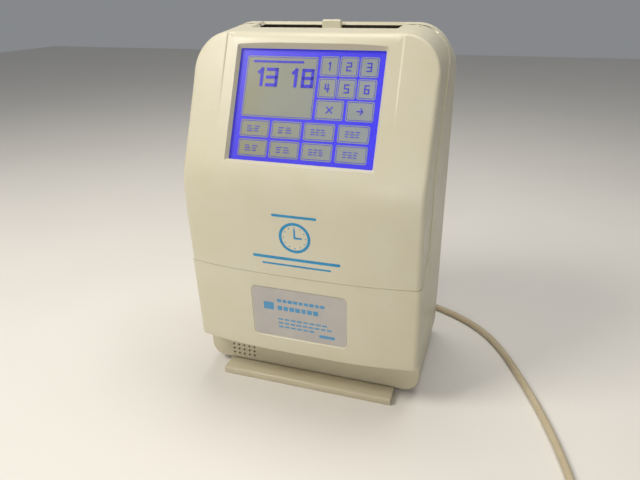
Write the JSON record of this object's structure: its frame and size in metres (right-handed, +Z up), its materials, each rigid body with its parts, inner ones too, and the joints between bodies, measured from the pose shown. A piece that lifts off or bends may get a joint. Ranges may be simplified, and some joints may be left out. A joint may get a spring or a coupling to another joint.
{
  "type": "punch time clock",
  "caption": "Desktop punch time clock: tilted touch display in a lift-up front cover, card slot on top, card feed and print carriage inside, foot bar and mains lead.",
  "frame": {"origin": "on the table, under the middle of the housing", "axes": "+Z up, +Y to the rear, +X to the right as seen from the front"},
  "size_m": [0.3378, 0.3969, 0.3166],
  "materials": {
    "housing": "satin moulded ABS, cream",
    "touch_film": "clear touch sheet",
    "display": "lit display",
    "label": "pale grey plate",
    "dark_plastic": "dark moulded plastic",
    "sheet_steel": "zinc-plated sheet",
    "shaft_steel": "ground shaft",
    "bush_brass": "sintered bush",
    "roller_rubber": "ground rubber",
    "gear_plastic": "acetal",
    "motor_can": "black motor can",
    "circuit_board": "green solder mask",
    "chip_black": "moulded package",
    "connector": "connector shell",
    "winding": "taped winding",
    "battery_sleeve": "shrink sleeve",
    "ribbon": "inked ribbon",
    "screw_steel": "nickel-plated",
    "cord_vinyl": "cream flexible vinyl",
    "blade": "plated blade"
  },
  "bodies": {
    "case": {"main_case": "housing", "hinge_pins": "shaft_steel", "card_throat": "dark_plastic", "card_tab": "dark_plastic", "front_guide": "sheet_steel", "rear_guide": "sheet_steel", "left_side_plate": "sheet_steel", "right_side_plate": "sheet_steel", "chassis_floor": "sheet_steel", "chassis_posts": "sheet_steel", "roller_bushes": "bush_brass", "feed_motor": "motor_can", "carriage_rods": "shaft_steel", "screw_bushes": "bush_brass", "carriage_motor": "motor_can", "platen": "sheet_steel", "ribbon_cassette": "dark_plastic", "ribbon_tape": "ribbon", "main_board": "circuit_board", "board_chips": "chip_black", "board_connectors": "connector", "board_pillars": "bush_brass", "transformer_core": "motor_can", "transformer_winding": "winding", "supply_board": "circuit_board", "backup_battery": "battery_sleeve", "speaker": "dark_plastic", "card_sensor": "circuit_board", "back_plate": "sheet_steel", "back_screws": "screw_steel", "foot_bar": "housing", "rubber_feet": "roller_rubber", "label_plate": "label", "power_cord": "cord_vinyl", "cord_coil": "cord_vinyl", "strain_relief": "cord_vinyl", "plug_body": "cord_vinyl", "plug_blades": "blade"},
    "cover": {"front_cover": "housing", "touch_panel": "touch_film", "lcd_glass": "display", "lcd_module": "sheet_steel", "display_board": "circuit_board", "display_standoffs": "bush_brass"},
    "feed_roller": {"feed_shaft": "shaft_steel", "feed_rollers": "roller_rubber", "feed_gear": "gear_plastic"},
    "pinch_roller": {"pinch_shaft": "shaft_steel", "pinch_rollers": "roller_rubber"},
    "feed_pinion": {"feed_motor_shaft": "shaft_steel", "motor_pinion": "gear_plastic"},
    "carriage": {"print_carriage": "dark_plastic", "print_head": "motor_can"},
    "lead_screw": {"carriage_screw": "shaft_steel"},
    "knob": {"ribbon_knob": "dark_plastic"}
  },
  "joints": [
    {"name": "cover_hinge", "type": "hinge", "parent": "case", "child": "cover", "pos_m": [0, 0.02, 0.31035], "axis": [-1, 0, 0], "range_deg": [0, 65]},
    {"name": "feed_spin", "type": "hinge", "parent": "case", "child": "feed_roller", "pos_m": [0, 0.0333, 0.262], "axis": [1, 0, 0], "continuous": true},
    {"name": "pinch_spin", "type": "hinge", "parent": "case", "child": "pinch_roller", "pos_m": [0, 0.0187, 0.262], "axis": [1, 0, 0], "continuous": true},
    {"name": "pinion_spin", "type": "hinge", "parent": "case", "child": "feed_pinion", "pos_m": [0.069, 0.05235, 0.251], "axis": [1, 0, 0], "continuous": true},
    {"name": "carriage_slide", "type": "slide", "parent": "case", "child": "carriage", "axis": [1, 0, 0], "range_m": [-0.038, 0.038]},
    {"name": "screw_spin", "type": "hinge", "parent": "case", "child": "lead_screw", "pos_m": [0, -0.004, 0.208], "axis": [1, 0, 0], "range_deg": [-700, 700]},
    {"name": "knob_spin", "type": "hinge", "parent": "case", "child": "knob", "pos_m": [-0.048, -0.031, 0.202], "axis": [0, -1, 0], "continuous": true}
  ],
  "couplings": [
    {"joint": "pinch_spin", "follows": "feed_spin", "ratio": -1.3333},
    {"joint": "pinion_spin", "follows": "feed_spin", "ratio": -2.6667},
    {"joint": "screw_spin", "follows": "carriage_slide", "rad_per_m": 314.16}
  ]
}
